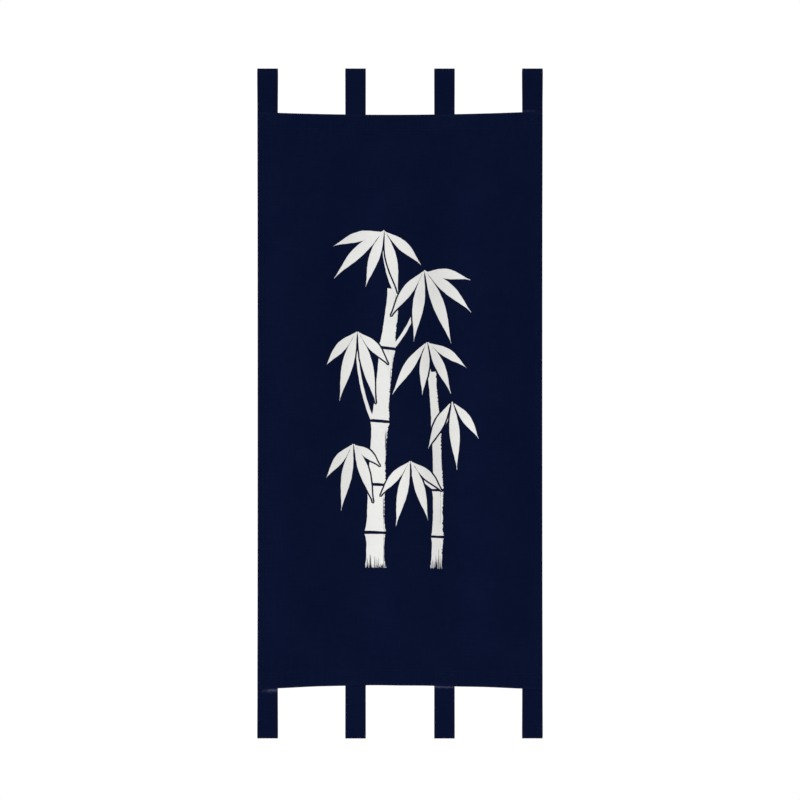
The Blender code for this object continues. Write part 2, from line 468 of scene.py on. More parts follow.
# %% What a node needs to know about a line


def on_parabola(start, end, bow, share):
    """The place at that share of the way along a line that stands bow to the left at its middle."""
    way = np.subtract(end, start)
    left = np.array([-way[1], way[0]]) / np.hypot(*way)
    return start + share * way + 4 * bow * share * (1 - share) * left


def line_numbers(start, end, bow):
    """A line's node inputs, moved from the panel's middle onto the cloth map."""
    way = np.subtract(end, start)
    length = float(np.hypot(*way))
    return {
        "Start": (start[0] + PANEL_WIDTH / 2, start[1] + PANEL_HEIGHT / 2, 0.0),
        "Along": (*(way / length**2), 0.0),
        "Left": (-way[1] / length, way[0] / length, 0.0),
        "Bow": 4 * bow,
        "Length": length,
    }


print("a line is given by its", ", ".join(line_numbers((0, 0), (0, 1), 0)))

# %% Culms and twigs
JOINT_GAP, JOINT_GAP_SHARE = 0.0042, 0.06  # between two lengths of a culm, and what a thick one adds
TWIG_TAPER = 0.4


def culm_numbers(culm):
    """The node inputs of a culm's lengths, from the foot up. Each bows as its share of the whole, squared."""
    gap = (JOINT_GAP + JOINT_GAP_SHARE * culm.foot_width) / math.dist(culm.foot, culm.top)
    lengths = []
    for low, high in zip(culm.joints, culm.joints[1:]):
        low, high = low + gap / 2, high - gap / 2
        ends = (on_parabola(culm.foot, culm.top, culm.bow, share) for share in (low, high))
        half, top_half = ((culm.foot_width + s * (culm.top_width - culm.foot_width)) / 2 for s in (low, high))
        numbers = line_numbers(*ends, culm.bow * (high - low) ** 2)
        foot = 1.0 if len(lengths) == 0 else 0.0
        numbers.update({"Half Width": half, "Widening": top_half - half, "Flare": 1.0, "Foot": foot})
        lengths.append(numbers)
    return lengths


def twig_numbers(twig):
    """A twig's node inputs: it tapers, but doesn't flare at its ends as a culm's lengths do."""
    numbers = line_numbers(twig.start, twig.end, twig.bow)
    return {**numbers, "Half Width": twig.width / 2, "Widening": -TWIG_TAPER * twig.width / 2}


CANE_STROKES = [numbers for culm in CULMS for numbers in culm_numbers(culm)]
CANE_STROKES += [twig_numbers(twig) for twig in TWIGS]
print(len(CANE_STROKES), "strokes for canes and twigs")

# %% Leaves
LEAF_ROOT, LEAF_TIP = 1.45, 1.75  # a leaf is as wide as t^1.45 (1 - t)^1.75, t being the way along it
LEAF_PEAK = LEAF_ROOT**LEAF_ROOT * LEAF_TIP**LEAF_TIP / (LEAF_ROOT + LEAF_TIP) ** (LEAF_ROOT + LEAF_TIP)
DROOP = 0.05  # how far a leaf bows, as a share of its length, when it points sideways
FULL_LENGTH, LEAST_WIDTH = 0.120, 0.7  # a leaf this long has its spray's width, one of no length this share
ROOT_ASIDE, ROOT_DROP = 0.005, 0.004  # how far aside and down the outermost leaves of a spray start


def spray_numbers(spray):
    """The node inputs of a spray's leaves. Their roots lie side by side, and a short leaf is narrower too."""
    leaves = []
    for share, (turn, length) in zip(np.linspace(-1, 1, len(spray.leaves)), spray.leaves):
        root = (spray.root[0] + ROOT_ASIDE * share, spray.root[1] - ROOT_DROP * abs(share))
        lean, fall = length * math.sin(math.radians(turn)), length * math.cos(math.radians(turn))
        width = spray.width * (LEAST_WIDTH + (1 - LEAST_WIDTH) * length / FULL_LENGTH)
        numbers = line_numbers(root, (root[0] + lean, root[1] - fall), DROOP * lean)
        leaves.append({**numbers, "Half Width": width / 2 / LEAF_PEAK})
    return leaves


LEAVES_BEHIND, LEAVES_IN_FRONT = (
    [numbers for spray in SPRAYS if spray.in_front == in_front for numbers in spray_numbers(spray)]
    for in_front in (False, True)
)
print(f"{len(LEAVES_BEHIND)} leaves behind and {len(LEAVES_IN_FRONT)} in front")

# %% [markdown]
# ## Materials
# Nodes are wired by two small helpers. Wiring adds them, one line a step. What a node gives is an Output, and
# arithmetic on it adds Math nodes, so that a formula that is worked out by nodes reads like any other. The
# weave is a group of its own, because the panel and the loops share it. It reads the cloth map, in metres,
# so its threads follow the cloth. A plain weave passes each thread over and under the next: along a thread
# its height rises and falls as a cosine, and across it the thread is round.

# %% What a node gives


class Output:
    """What a node gives. Arithmetic on it adds Math nodes."""

    def __init__(self, wiring, socket):
        self.wiring, self.socket = wiring, socket

    def __add__(self, other):
        return self.wiring.calc("ADD", self, other)

    def __sub__(self, other):
        return self.wiring.calc("SUBTRACT", self, other)

    def __rsub__(self, other):
        return self.wiring.calc("SUBTRACT", other, self)

    def __mul__(self, other):
        return self.wiring.calc("MULTIPLY", self, other)

    def __truediv__(self, other):
        return self.wiring.calc("DIVIDE", self, other)

    def __pow__(self, other):
        return self.wiring.calc("POWER", self, other)

    def __abs__(self):
        return self.wiring.calc("ABSOLUTE", self)


# %% Wiring
Rise = namedtuple("Rise", "low high to_low to_high", defaults=(0.0, 1.0))
MIX_A, MIX_B, MIX_RESULT = 6, 7, 2  # which of a Mix node's inputs and outputs are for colours


class Wiring:
    """Adds nodes to a tree. An input that is an Output is linked, and any other is set as it is."""

    def __init__(self, tree):
        self.tree = tree

    def put(self, given, socket):
        """Links or sets one input."""
        if isinstance(given, Output):
            self.tree.links.new(given.socket, socket)
        else:
            socket.default_value = given

    def add(self, kind, inputs=(), **settings):
        """A new node with these settings, and then these inputs, by name or number."""
        node = self.tree.nodes.new(kind)
        for key, setting in settings.items():
            setattr(node, key, setting)
        for key, given in dict(inputs).items():
            self.put(given, node.inputs[key])
        return node

    def output(self, kind, which, inputs=(), **settings):
        """One output of a new node."""
        return Output(self, self.add(kind, inputs, **settings).outputs[which])

    def outputs(self, node):
        """All outputs of a node, by name."""
        return {socket.name: Output(self, socket) for socket in node.outputs}

    def calc(self, operation, *numbers, clamp=False):
        """The result of a Math node on these numbers."""
        return self.output("ShaderNodeMath", 0, enumerate(numbers), operation=operation, use_clamp=clamp)

    def vector(self, operation, a, b):
        """The result of a Vector Math node on a and b, which is a number if it is their dot product."""
        which = "Value" if operation == "DOT_PRODUCT" else "Vector"
        return self.output("ShaderNodeVectorMath", which, {0: a, 1: b}, operation=operation)

    def smooth(self, number, rise):
        """A smooth rise from to_low, where the number is low, to to_high, where it is high."""
        inputs = zip(("Value", "From Min", "From Max", "To Min", "To Max"), (number, *rise))
        return self.output("ShaderNodeMapRange", "Result", inputs, interpolation_type="SMOOTHSTEP")

    def noise(self, place, scale, detail=2.0, roughness=0.5):
        """Noise from 0 to 1, with scale as a number, or as one number for each axis."""
        if isinstance(scale, tuple):
            place, scale = self.output("ShaderNodeMapping", 0, {"Vector": place, "Scale": scale}), 1.0
        inputs = {"Vector": place, "Scale": scale, "Detail": detail, "Roughness": roughness}
        return self.output("ShaderNodeTexNoise", "Fac", inputs)

    def blend(self, share, a, b):
        """Colour a where the share is 0, and b where it is 1."""
        inputs = {"Factor": share, MIX_A: a, MIX_B: b}
        return self.output("ShaderNodeMix", MIX_RESULT, inputs, data_type="RGBA", clamp_factor=True)

    def bump(self, height, strength=1.0):
        """The normal of a surface that stands up by that height, in metres."""
        inputs = {"Height": height, "Strength": strength, "Distance": 1.0}
        return self.output("ShaderNodeBump", "Normal", inputs)

    def stored(self, name):
        """A number stored on the mesh's points."""
        return self.output("ShaderNodeAttribute", "Fac", attribute_name=name)

    def cloth_map(self):
        """A place on the flat cloth, in metres."""
        return self.output("ShaderNodeUVMap", "UV", uv_map="cloth_map")


# %% Node groups


def new_group(name, vectors, numbers, results):
    """An empty node group with these inputs and results: its tree, its wiring, its inputs and its results."""
    tree = bpy.data.node_groups.new(name, "ShaderNodeTree")
    sockets = [(vectors, "INPUT", "Vector"), (numbers, "INPUT", "Float"), (results, "OUTPUT", "Float")]
    for names, in_out, kind in sockets:
        for socket in names:
            tree.interface.new_socket(name=socket, in_out=in_out, socket_type="NodeSocket" + kind)
    w = Wiring(tree)
    return tree, w, w.outputs(w.add("NodeGroupInput")), w.add("NodeGroupOutput").inputs


# %% The plain weave
THREAD_PITCH = 0.00078  # from one thread to the next, in both directions
WANDER_SCALE, WANDER = 55.0, 0.0011  # of the noise that bends the threads, and how far it moves them
WARP_SLUBS, WEFT_SLUBS = (900, 26, 1), (19, 800, 1)  # scales of noise that is drawn out along the threads
MOTTLE_SCALE, MOTTLE_ROUGHNESS = 9.0, 0.55


def make_weave():
    """A group that turns a place on the cloth map into the weave's height, its slubs and its mottling."""
    tree, w, given, results = new_group("plain_weave", ("Cloth",), (), ("Height", "Slubs", "Mottle"))
    cloth = given["Cloth"]
    wander = w.output("ShaderNodeTexNoise", "Color", {"Vector": cloth, "Scale": WANDER_SCALE, "Detail": 1.0})
    moved = w.vector("ADD", cloth, w.vector("MULTIPLY", wander, (WANDER, WANDER, 0)))
    counted = w.vector("MULTIPLY", moved, (1 / THREAD_PITCH, 1 / THREAD_PITCH, 0))
    parts = w.outputs(w.add("ShaderNodeSeparateXYZ", {"Vector": counted}))
    u, v = parts["X"], parts["Y"]

    def thread(across_it, along_it, sign):
        """Round across, and up or down along: |sin(pi u)| times (1 ± cos(pi (v + floor u))) / 2."""
        round_top = abs(w.calc("SINE", across_it * math.pi))
        turn = (along_it + w.calc("FLOOR", across_it)) * math.pi
        return round_top * (w.calc("COSINE", turn) * (sign / 2) + 0.5)

    w.put(w.calc("MAXIMUM", thread(u, v + 0.5, 1), thread(v, u + 0.5, -1)), results["Height"])
    slubs = w.noise(cloth, WARP_SLUBS, detail=1.0) + w.noise(cloth, WEFT_SLUBS, detail=1.0)
    w.put(slubs * 0.5, results["Slubs"])
    w.put(w.noise(cloth, MOTTLE_SCALE, detail=4.0, roughness=MOTTLE_ROUGHNESS), results["Mottle"])
    return tree


WEAVE = make_weave()


def on_weave(w, place):
    """The weave's height, slubs and mottling at a place on the cloth map."""
    return w.outputs(w.add("ShaderNodeGroup", {"Cloth": place}, node_tree=WEAVE))


print(f"weave: {0.01 / THREAD_PITCH:.0f} threads a centimetre, each way")

# %% [markdown]
# ## Navy cloth
# Dyed cotton is matt. Its navy is deepest in the hollows between the threads, and the dye is never quite
# even. Where the cloth is folded over, at hems and along the loops, wear has taken a little dye off the
# ridge, so the fold is paler. That wear is a number on the points, which is largest on the rim. On three
# loops the same number also carries a painted highlight along the bend past the hem, where light would
# catch it.

# %% Cloth colours
NAVY = (0.0016, 0.0039, 0.0214, 1.0)
NAVY_PALE = (0.0030, 0.0064, 0.0279, 1.0)
# the next colour is both the paler navy of worn folds and a painted highlight at three loops' bends
NAVY_WORN_AND_HIGHLIT = (0.0700, 0.0800, 0.1500, 1.0)
COTTON_FINISH = {"Sheen Roughness": 0.45, "Sheen Tint": (0.35, 0.45, 0.80, 1.0)}  # of cloth and thread alike
CLOTH_FINISH = {**COTTON_FINISH, "Sheen Weight": 0.012, "Specular IOR Level": 0.025}
WHITE = (0.772, 0.772, 0.752, 1.0)
WHITE_DULL = (0.720, 0.720, 0.705, 1.0)
BACK_WHITE = (0.270, 0.300, 0.395, 1.0)  # the white as it shows on the back, and there on a thick thread
BACK_DULL = (0.150, 0.178, 0.270, 1.0)


def new_material(name, finish):
    """A material whose Principled shader has that finish, with its wiring and the shader's inputs."""
    material = bpy.data.materials.new(name)
    material.use_nodes = True
    w, shader = Wiring(material.node_tree), material.node_tree.nodes["Principled BSDF"].inputs
    for key, given in finish.items():
        w.put(given, shader[key])
    return material, w, shader


print("cloth:", ", ".join(f"{look.lower()} {given}" for look, given in CLOTH_FINISH.items()))

# %% Dye and weave
PALE_BY_THREAD = Rise(0.38, 0.66, 0.10, 0.60)  # how pale the navy is, by how thick the thread is
PALE_BY_DYE = Rise(0.35, 0.65, 0.0, 0.25)  # and by the mottling
PATCH_SCALE, WEAR_AND_HIGHLIGHT_PATCHES = 160.0, Rise(0.42, 0.62, 0.4, 1.0)  # wear, and the painted highlight at the loops' bends, come in patches
ROUGHNESS = Rise(0.3, 0.7, 0.94, 0.84)  # from thin threads to thick ones
WEAVE_DEPTH, SLUB_DEPTH = 0.00016, 0.00012
PASTE_FILLS = 0.45  # the share of the weave's depth that paste takes away


def navy_worn_and_highlit(w, place, weave):
    """The navy: paler on thick threads and by the dye's mottling, and palest where the fold is worn and where
    a highlight is painted at a loop's bend.
    """
    pale = w.smooth(weave["Slubs"], PALE_BY_THREAD) + w.smooth(weave["Mottle"], PALE_BY_DYE)
    navy = w.blend(pale, NAVY, NAVY_PALE)
    patches = w.smooth(w.noise(place, PATCH_SCALE, detail=3.0), WEAR_AND_HIGHLIGHT_PATCHES)
    # the stored number is wear on folded edges, and on three loops also a painted highlight at the bend
    return w.blend(w.calc("MULTIPLY", w.stored("wear_and_highlight"), patches, clamp=True), navy, NAVY_WORN_AND_HIGHLIT)


def woven_surface(w, shader, weave, filled=None):
    """Bump from the weave and the slubs, and roughness that varies with them.

    filled is 1 where paste has filled the weave, which then stands up only about half as far. It goes to
    the bump's strength, because a bump works out everything that its height depends on three times.
    """
    height = weave["Height"] * WEAVE_DEPTH + weave["Slubs"] * SLUB_DEPTH
    strength = 1.0 if filled is None else 1 - filled * PASTE_FILLS
    w.put(w.bump(height, strength), shader["Normal"])
    w.put(w.smooth(weave["Slubs"], ROUGHNESS), shader["Roughness"])


print("the threads stand", 1000 * WEAVE_DEPTH, "mm high, and thick ones", 1000 * SLUB_DEPTH, "mm more")

# %% The loops' material


def make_tab_cloth():
    """Navy cloth on the cloth map, with worn folds and the painted highlights at three loops' bends."""
    material, w, shader = new_material("navy_cloth", CLOTH_FINISH)
    place = w.cloth_map()
    weave = on_weave(w, place)
    w.put(navy_worn_and_highlit(w, place, weave), shader["Base Color"])
    woven_surface(w, shader, weave)
    return material


TAB_CLOTH = make_tab_cloth()
print("material:", TAB_CLOTH.name)

# %% [markdown]
# ## Strokes as node groups
# Each kind of stroke is a node group that says, for any place on the cloth, how far inside the stroke it
# lies, in metres, and less than nothing outside. The largest of these numbers over many strokes joins them
# into one shape, whose edge is sharp at any distance. Where the brush ran dry, a cane's edge is notched on
# its shaded side, its foot is ragged, and long streaks of dye show through.

# %% What both kinds share
LINE_VECTORS, LINE_NUMBERS = ("Place", "Start", "Along", "Left"), ("Bow", "Length", "Half Width")


def on_line(w, given):
    """The share of the way along a stroke, the same held from 0 to 1, and the distance to the line's left."""
    from_start = w.vector("SUBTRACT", given["Place"], given["Start"])
    along = w.vector("DOT_PRODUCT", from_start, given["Along"])
    held = w.calc("ADD", along, 0.0, clamp=True)
    bowed = held * (1 - held) * given["Bow"]
    return along, held, w.vector("DOT_PRODUCT", from_start, given["Left"]) - bowed


print("a stroke is given by its", ", ".join(LINE_VECTORS[1:] + LINE_NUMBERS))

# %% A leaf
STALK = 0.0012  # half the width of a leaf's stalk


def make_leaf_stroke():
    """The half width t^1.45 (1 - t)^1.75, scaled, plus a thin stalk, less the distance to the line."""
    tree, w, given, results = new_group("leaf_stroke", LINE_VECTORS, LINE_NUMBERS, ("Inside",))
    along, held, side = on_line(w, given)
    rest = 1 - held
    half = held**LEAF_ROOT * rest**LEAF_TIP * given["Half Width"] + rest * rest * STALK
    past_end = abs(along - held) * given["Length"]
    w.put(half - abs(side) - past_end, results["Inside"])
    return tree


LEAF_STROKE = make_leaf_stroke()
print("a leaf takes", len(LEAF_STROKE.nodes), "nodes")

# %% A length of cane, or a twig
WAIST, END_FLARE = 0.16, 0.20  # how much narrower its middle is, as a share, and what the ends add to that
DRY_MIDDLE, DRY_SIDE, DRY_FOOT = 0.42, 0.40, 0.55  # how dry the brush was, and what its side and the foot add
FOOT_REACH = 0.45  # how far up the lowest length it was dry, as a share
NOTCHED = Rise(0.30, 0.90)  # from how dry to how dry the notches deepen
RAGGED_FROM, RAGGED_FOOT = 0.42, 0.10  # the foot ends shorter where a streak passes the first, by the second
STREAK_LIMIT, STREAK_SOFT = 0.80, 0.02  # dye shows where a streak passes this, and how sharply
DRY_STREAKS = 0.24  # how much a dry brush adds to the streaks


def make_cane_stroke():
    """A tapering stroke, cut square at both ends, which flares towards them as the fourth power of the way.

    Notch is how far out the dry side's edge is moved, and Streak is noise drawn out along the cane, 0 to 1.
    """
    numbers = (*LINE_NUMBERS, "Widening", "Flare", "Foot", "Notch", "Streak")
    tree, w, given, results = new_group("cane_stroke", LINE_VECTORS, numbers, ("Inside",))
    along, held, side = on_line(w, given)
    flare = (abs(held * 2 - 1) ** 4 * END_FLARE - WAIST) * given["Flare"] + 1
    half = (held * given["Widening"] + given["Half Width"]) * flare

    near_foot = w.smooth(held, Rise(0.0, FOOT_REACH, 1.0, 0.0)) * given["Foot"]
    dry = (near_foot * DRY_FOOT + DRY_MIDDLE - side / half * DRY_SIDE) * given["Flare"]
    inside = given["Notch"] * w.smooth(dry, NOTCHED) + half - abs(side)

    ragged = w.calc("MAXIMUM", (given["Streak"] - RAGGED_FROM) * RAGGED_FOOT, 0.0) * given["Foot"]
    low_end, high_end = along * given["Length"] - ragged, (1 - along) * given["Length"]
    inside = w.calc("MINIMUM", inside, w.calc("MINIMUM", low_end, high_end))
    unstreaked = (STREAK_LIMIT - (dry * DRY_STREAKS + given["Streak"])) * STREAK_SOFT
    w.put(w.calc("MINIMUM", inside, unstreaked), results["Inside"])
    return tree


CANE_STROKE = make_cane_stroke()
print("a length of cane takes", len(CANE_STROKE.nodes), "nodes")

# %% [markdown]
# ## The printed panel's material
# Three shapes are laid over each other: canes, the leaves behind and the leaves in front. The edge of a
# shape is where its number passes zero, moved a fraction of a millimetre by noise, as paste bleeds along the
# threads. A shape in front pushes the one behind it back by the width of a navy line. On the back, dye has
# crept in under the paste, so the design shows there in a pale indigo with blurred edges.

# %% How the paste went on
OUTLINE = 0.0034  # the navy line round a shape in front
EDGE_SOFT, BACK_SOFT = 0.00035, 0.0016
NOTCH_DEPTH, NOTCH_PROUD = 0.0110, 0.0005  # how far dry notches cut into a culm's edge, and stand out of it
NOTCH_SCALE, NOTCH_ROUGHNESS = (150, 260, 1), 0.6
STREAK_SCALE, FLECK_SCALE = (620, 9, 1), (300, 90, 1)  # both are drawn out up the cloth
BLEED, BLEED_SCALE = 0.0008, 620.0  # how far paste bleeds, in all, and the scale of that
SWAY, SWAY_SCALE = 0.0016, 75.0  # and the same for how unsteady the brush was
THREAD_BLEED = 0.0004  # how much further it goes on the top of a thread
FLECKS = Rise(0.775, 0.795)  # the noise above which a fleck of dye shows
DULL_PASTE, DULL_BACK = Rise(0.35, 0.68), Rise(0.36, 0.66)


def joined(w, place, group, strokes, **brush):
    """How far inside any of these strokes the place lies: the largest of what their node groups say."""
    inside = None
    for numbers in strokes:
        this = w.output("ShaderNodeGroup", "Inside", {"Place": place, **numbers, **brush}, node_tree=group)
        inside = this if inside is None else w.calc("MAXIMUM", inside, this)
    return inside


print(f"the design's edges wander by up to {1000 * (BLEED + SWAY) / 2:.1f} mm either way")

# %% The panel's material


def make_panel_cloth():
    """Navy cloth with the white design."""
    material, w, shader = new_material("printed_navy_cloth", CLOTH_FINISH)
    place, front = w.cloth_map(), w.stored("front")
    weave = on_weave(w, place)

    def either_way(size, scale, **kind):
        """Noise from half the size inwards to half the size outwards."""
        return w.noise(place, scale, **kind) * size - size / 2

    notch = either_way(NOTCH_DEPTH, NOTCH_SCALE, detail=4.0, roughness=NOTCH_ROUGHNESS)
    brush = {"Notch": w.calc("MINIMUM", notch, NOTCH_PROUD), "Streak": w.noise(place, STREAK_SCALE)}
    canes = joined(w, place, CANE_STROKE, CANE_STROKES, **brush)
    behind = joined(w, place, LEAF_STROKE, LEAVES_BEHIND)
    in_front = joined(w, place, LEAF_STROKE, LEAVES_IN_FRONT)

    uneven = either_way(BLEED, BLEED_SCALE) + either_way(SWAY, SWAY_SCALE, detail=1.0)
    ragged = weave["Height"] * THREAD_BLEED + uneven
    soft = front * (EDGE_SOFT - BACK_SOFT) + BACK_SOFT
    edge = Rise(soft * -1, soft)

    def passed(distance, shift=0.0):
        """1 inside a shape's edge, 0 outside it."""
        return w.smooth(distance + ragged + shift, edge)

    white = passed(canes) * (1 - passed(w.calc("MAXIMUM", in_front, behind), OUTLINE))
    white = white + passed(behind) * (1 - passed(in_front, OUTLINE))
    white = w.calc("ADD", white, passed(in_front), clamp=True)
    white = white * (1 - w.smooth(w.noise(place, FLECK_SCALE), FLECKS))

    paste = w.blend(w.smooth(weave["Mottle"], DULL_PASTE), WHITE, WHITE_DULL)
    seen_behind = w.blend(w.smooth(weave["Slubs"], DULL_BACK), BACK_WHITE, BACK_DULL)
    undyed = w.blend(front, seen_behind, paste)
    w.put(w.blend(white, navy_worn_and_highlit(w, place, weave), undyed), shader["Base Color"])
    woven_surface(w, shader, weave, filled=white * front)
    return material


PANEL_CLOTH = make_panel_cloth()
print("material:", PANEL_CLOTH.name, "with", len(PANEL_CLOTH.node_tree.nodes), "nodes")

# %% [markdown]
# ## The panel
# Now the panel's points, thickness and rubbing come together in one mesh. The front face follows panel_front
# exactly, so the middle surface lies half the cloth's thickness behind it.

# %% The panel
EDGE_RUB, EDGE_RUB_REACH = 0.06, 0.0011  # how worn the cloth's folded edges are, and how far in


def ridge_falloff(distance, reach):
    """1 on a folded edge or ridge, fading away from it as exp(-(d/r)²): it shapes the wear on folds and the
    painted highlights at the loops' bends.
    """
    return np.exp(-((distance / reach) ** 2))


middle = panel_front(across, up)
middle[..., 1] += layers(across, up) / 2
half = thickness / 2 * quarter_round(rim_distance, RIM)
panel_mesh = closed_sheet("noren_panel", middle, half, np.stack([across, up], -1))
keep_values(panel_mesh, "wear_and_highlight", two_sided(EDGE_RUB * ridge_falloff(rim_distance, EDGE_RUB_REACH)))
keep_values(panel_mesh, "front", two_sided(np.ones(half.shape), np.zeros(half.shape)))
panel = shown("noren_panel", panel_mesh, PANEL_CLOTH)
print(f"panel: {len(panel_mesh.polygons)} triangles")

# %% [markdown]
# ## The loops
# A loop is a strip folded in half, with both ends sewn behind the panel's hem. Seen from the side it is a
# drop: the two plies lie together in the seam, part above it, and run round a fold. The strip is swept
# along that line. Its long edges are folds too, a little thicker than its middle, with a row of stitches
# just inside each.

# %% Loop sizes
Loop = namedtuple("Loop", "name x crown_z up radius edge sway")
PLY = 0.0013  # the strip's thickness
PLAIN_SHARE = 0.86  # how much of that is left between its folded edges
SEAM_HALF_GAP = 0.0007  # from the loop's middle plane to the middle of each ply in the seam
SEAM_CLEAR = 0.003  # how far outside the hem the two plies still lie together
TAB_LAP = 0.029  # how far a strip's ends reach behind the hem
TOP_RADIUS, BOTTOM_RADIUS = 0.0116, 0.0086  # to the middle of the ply
TOP_SWAYS = (0.0005, -0.0004, 0.0006, -0.0003)  # of each crown, back or forth
BOTTOM_SWAYS = (0.0008, -0.0006, -0.0009, 0.0007)
ROWS = (
    ("top", 0.0, 1, TOP_RADIUS, top_edge, TOP_SWAYS),
    ("bottom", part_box("bottom_tab_1")[0].z, -1, BOTTOM_RADIUS, bottom_edge, BOTTOM_SWAYS),
)

LOOPS = [
    Loop(f"{row}_tab_{number}", x, crown_z, up, radius, edge, sway)
    for row, crown_z, up, radius, edge, sways in ROWS
    for number, x, sway in zip(range(1, 5), TAB_CENTRES, sways)
]
print("loops:", ", ".join(loop.name for loop in LOOPS))

# %% A loop's line from the side
LEG_POINTS, CROWN_POINTS = 240, 120


def loop_line(loop):
    """The middle of the strip, up the front, over and down the back, as y and the depth below the crown.

    In the seam the plies lie SEAM_HALF_GAP from the middle plane. Past it they part, half evenly and half
    eased, into a half circle of the loop's radius. Also returns the depth at which the plies part.
    """
    nearest = min(abs(loop.edge(loop.x + side * TAB_WIDTH / 2) - loop.crown_z) for side in (-1, 1))
    joined, end = nearest - SEAM_CLEAR, abs(loop.edge(loop.x) - loop.crown_z) + TAB_LAP
    centre = PLY / 2 + loop.radius
    depth = np.linspace(end, centre, LEG_POINTS, endpoint=False)
    t = np.clip((joined - depth) / (joined - centre), 0, 1)
    gap = SEAM_HALF_GAP + (t + eased(t)) / 2 * (loop.radius - SEAM_HALF_GAP)
    turn = np.linspace(0, np.pi, CROWN_POINTS)
    y = np.concatenate([-gap, -loop.radius * np.cos(turn), gap[::-1]])
    return y, np.concatenate([depth, centre - loop.radius * np.sin(turn), depth[::-1]]), joined


print(f"the plies of {LOOPS[0].name} part {1000 * loop_line(LOOPS[0])[2]:.0f} mm below its crown")

# %% A loop's surface
RIPPLE_DEPTH, RIPPLE_LENGTH = 0.00022, 0.0087  # of the waves that run round a loop; the length is a radian's
RIPPLE_SLANT, RIPPLE_MIDDLE = 40.0, 0.010  # radians a metre across, and where across they count from
RIPPLE_SHIFT = 50.0  # radians a metre from one loop to the next


def strip_surface(loop):
    """The strip's middle surface as a function of w across and s along it, in metres, and the strip's length.

    The line is swept across. The crown sways back or forth a little, and a faint ripple runs round the loop.
    """
    line_y, line_depth, joined = loop_line(loop)
    line_s = np.concatenate([[0], np.cumsum(np.hypot(np.diff(line_y), np.diff(line_depth)))])

    def surface(w, s):
        y, depth = np.interp(s, line_s, line_y), np.interp(s, line_s, line_depth)
        free = eased((joined - depth) / joined)
        phase = s / RIPPLE_LENGTH + RIPPLE_SLANT * (w - RIPPLE_MIDDLE) + loop.x * RIPPLE_SHIFT
        y = y + loop.sway * free + np.sign(y) * RIPPLE_DEPTH * np.sin(phase) * free
        return np.stack([loop.x - TAB_WIDTH / 2 + w, y, loop.crown_z - loop.up * depth], -1)

    return surface, line_s[-1]


print("it starts at", strip_surface(LOOPS[0])[0](0.0, 0.0).round(4))

# %% [markdown]
# Where a loop comes out from behind the hem it bends, and on three of the loops a highlight is painted along
# that bend, a paler navy where light would catch it: all along on one of the bottom loops, and towards one
# side on another and on the last of the top loops.

# %% Where a loop is worn, and where a highlight is painted on it
TAB_RUB_REACH = 0.0009
CROWN_RUB, CROWN_REACH, CROWN_RUB_REACH = 0.05, 0.030, 0.004  # more wear over the rod
Bend = namedtuple("Bend", "left right from_hem reach")  # a painted highlight at a bend: how bright it is at its two sides, where, and how wide
NO_PAINTED_HIGHLIGHT = Bend(0.0, 0.0, 0.0, 0.001)
PAINTED_HIGHLIGHT_BENDS = {
    "bottom_tab_1": Bend(0.0, 0.90, 0.0034, 0.0034),
    "bottom_tab_3": Bend(1.15, 0.95, 0.0008, 0.0026),
    "top_tab_4": Bend(0.30, 0.0, 0.0010, 0.0024),
}


def painted_bend_highlight(loop, x, s):
    """The painted highlight on the front ply just past the hem, where light would catch the bend: a ridge
    along the hem's edge, from left to right.
    """
    bend = PAINTED_HIGHLIGHT_BENDS.get(loop.name, NO_PAINTED_HIGHLIGHT)
    amount = bend.left + (bend.right - bend.left) * eased((x - loop.x) / TAB_WIDTH + 0.5)
    from_hem = s - TAB_LAP - loop.up * (loop.edge(x) - loop.edge(loop.x))
    return amount * ridge_falloff(from_hem - bend.from_hem, bend.reach)


def loop_wear_and_highlight(loop, x, side, s, length):
    """How worn a loop is on its folded edges and more over its crown, plus the painted highlight at its bend.
    """
    crown = CROWN_RUB * hill((s - length / 2) / CROWN_REACH) * ridge_falloff(side, CROWN_RUB_REACH)
    return EDGE_RUB * ridge_falloff(side, TAB_RUB_REACH) + crown + painted_bend_highlight(loop, x, s)


# the loops whose bends carry a painted highlight
print("rubbed at the bend:", ", ".join(PAINTED_HIGHLIGHT_BENDS))

# %% Where a loop's points lie
EDGE_SEAM = 0.0027  # the row of stitches inside each long edge
EDGE_SEAM_STEPS = (-0.0012, -0.0006, 0.0, 0.0006)
LOOP_STEP, FOLD_STEP, BEND_STEP = 0.0032, 0.0013, 0.0010  # between points on the legs, the fold and the bend
EVEN_ACROSS, EVEN_ALONG = 0.0045, 0.002  # where the even steps start, from a long edge and from an end
FOLD_REACH = 1.15  # the fold's fine steps cover this much more than its half circle
BEND_BEFORE, BEND_AFTER = 0.004, 0.008


def places_along(length, radius):
    """Places along half the strip: its rim, its leg with the bend past the hem, and half its fold."""
    bend_from, bend_to = TAB_LAP - BEND_BEFORE, TAB_LAP + BEND_AFTER
    fold_from = length / 2 - FOLD_REACH * np.pi / 2 * radius
    return np.concatenate([
        PLY / 2 * np.array(EDGE_STEPS),
        spaced(EVEN_ALONG, bend_from, LOOP_STEP),
        spaced(bend_from, bend_to, BEND_STEP),
        spaced(bend_to, fold_from, LOOP_STEP),
        spaced(fold_from, (length + FOLD_STEP) / 2, FOLD_STEP),
    ])


def places_across():
    """Places across half the strip: its rim, its row of stitches, and its middle."""
    seam = EDGE_SEAM + np.array(EDGE_SEAM_STEPS)
    inside = spaced(EVEN_ACROSS, (TAB_WIDTH + LOOP_STEP) / 2, LOOP_STEP)
    return np.concatenate([PLY / 2 * np.array(EDGE_STEPS), seam, inside])


print("points across a loop:", 2 * len(places_across()))

# %% A loop's mesh
TAB_GROOVE_DEPTH, TAB_GROOVE_WIDTH = 0.00022, 0.0007
TURNED_IN = 0.009  # the width of the strip's edge that is folded in
MAP_SPREAD = 3.0  # the loops lie apart on the cloth map, so that no two have the same threads


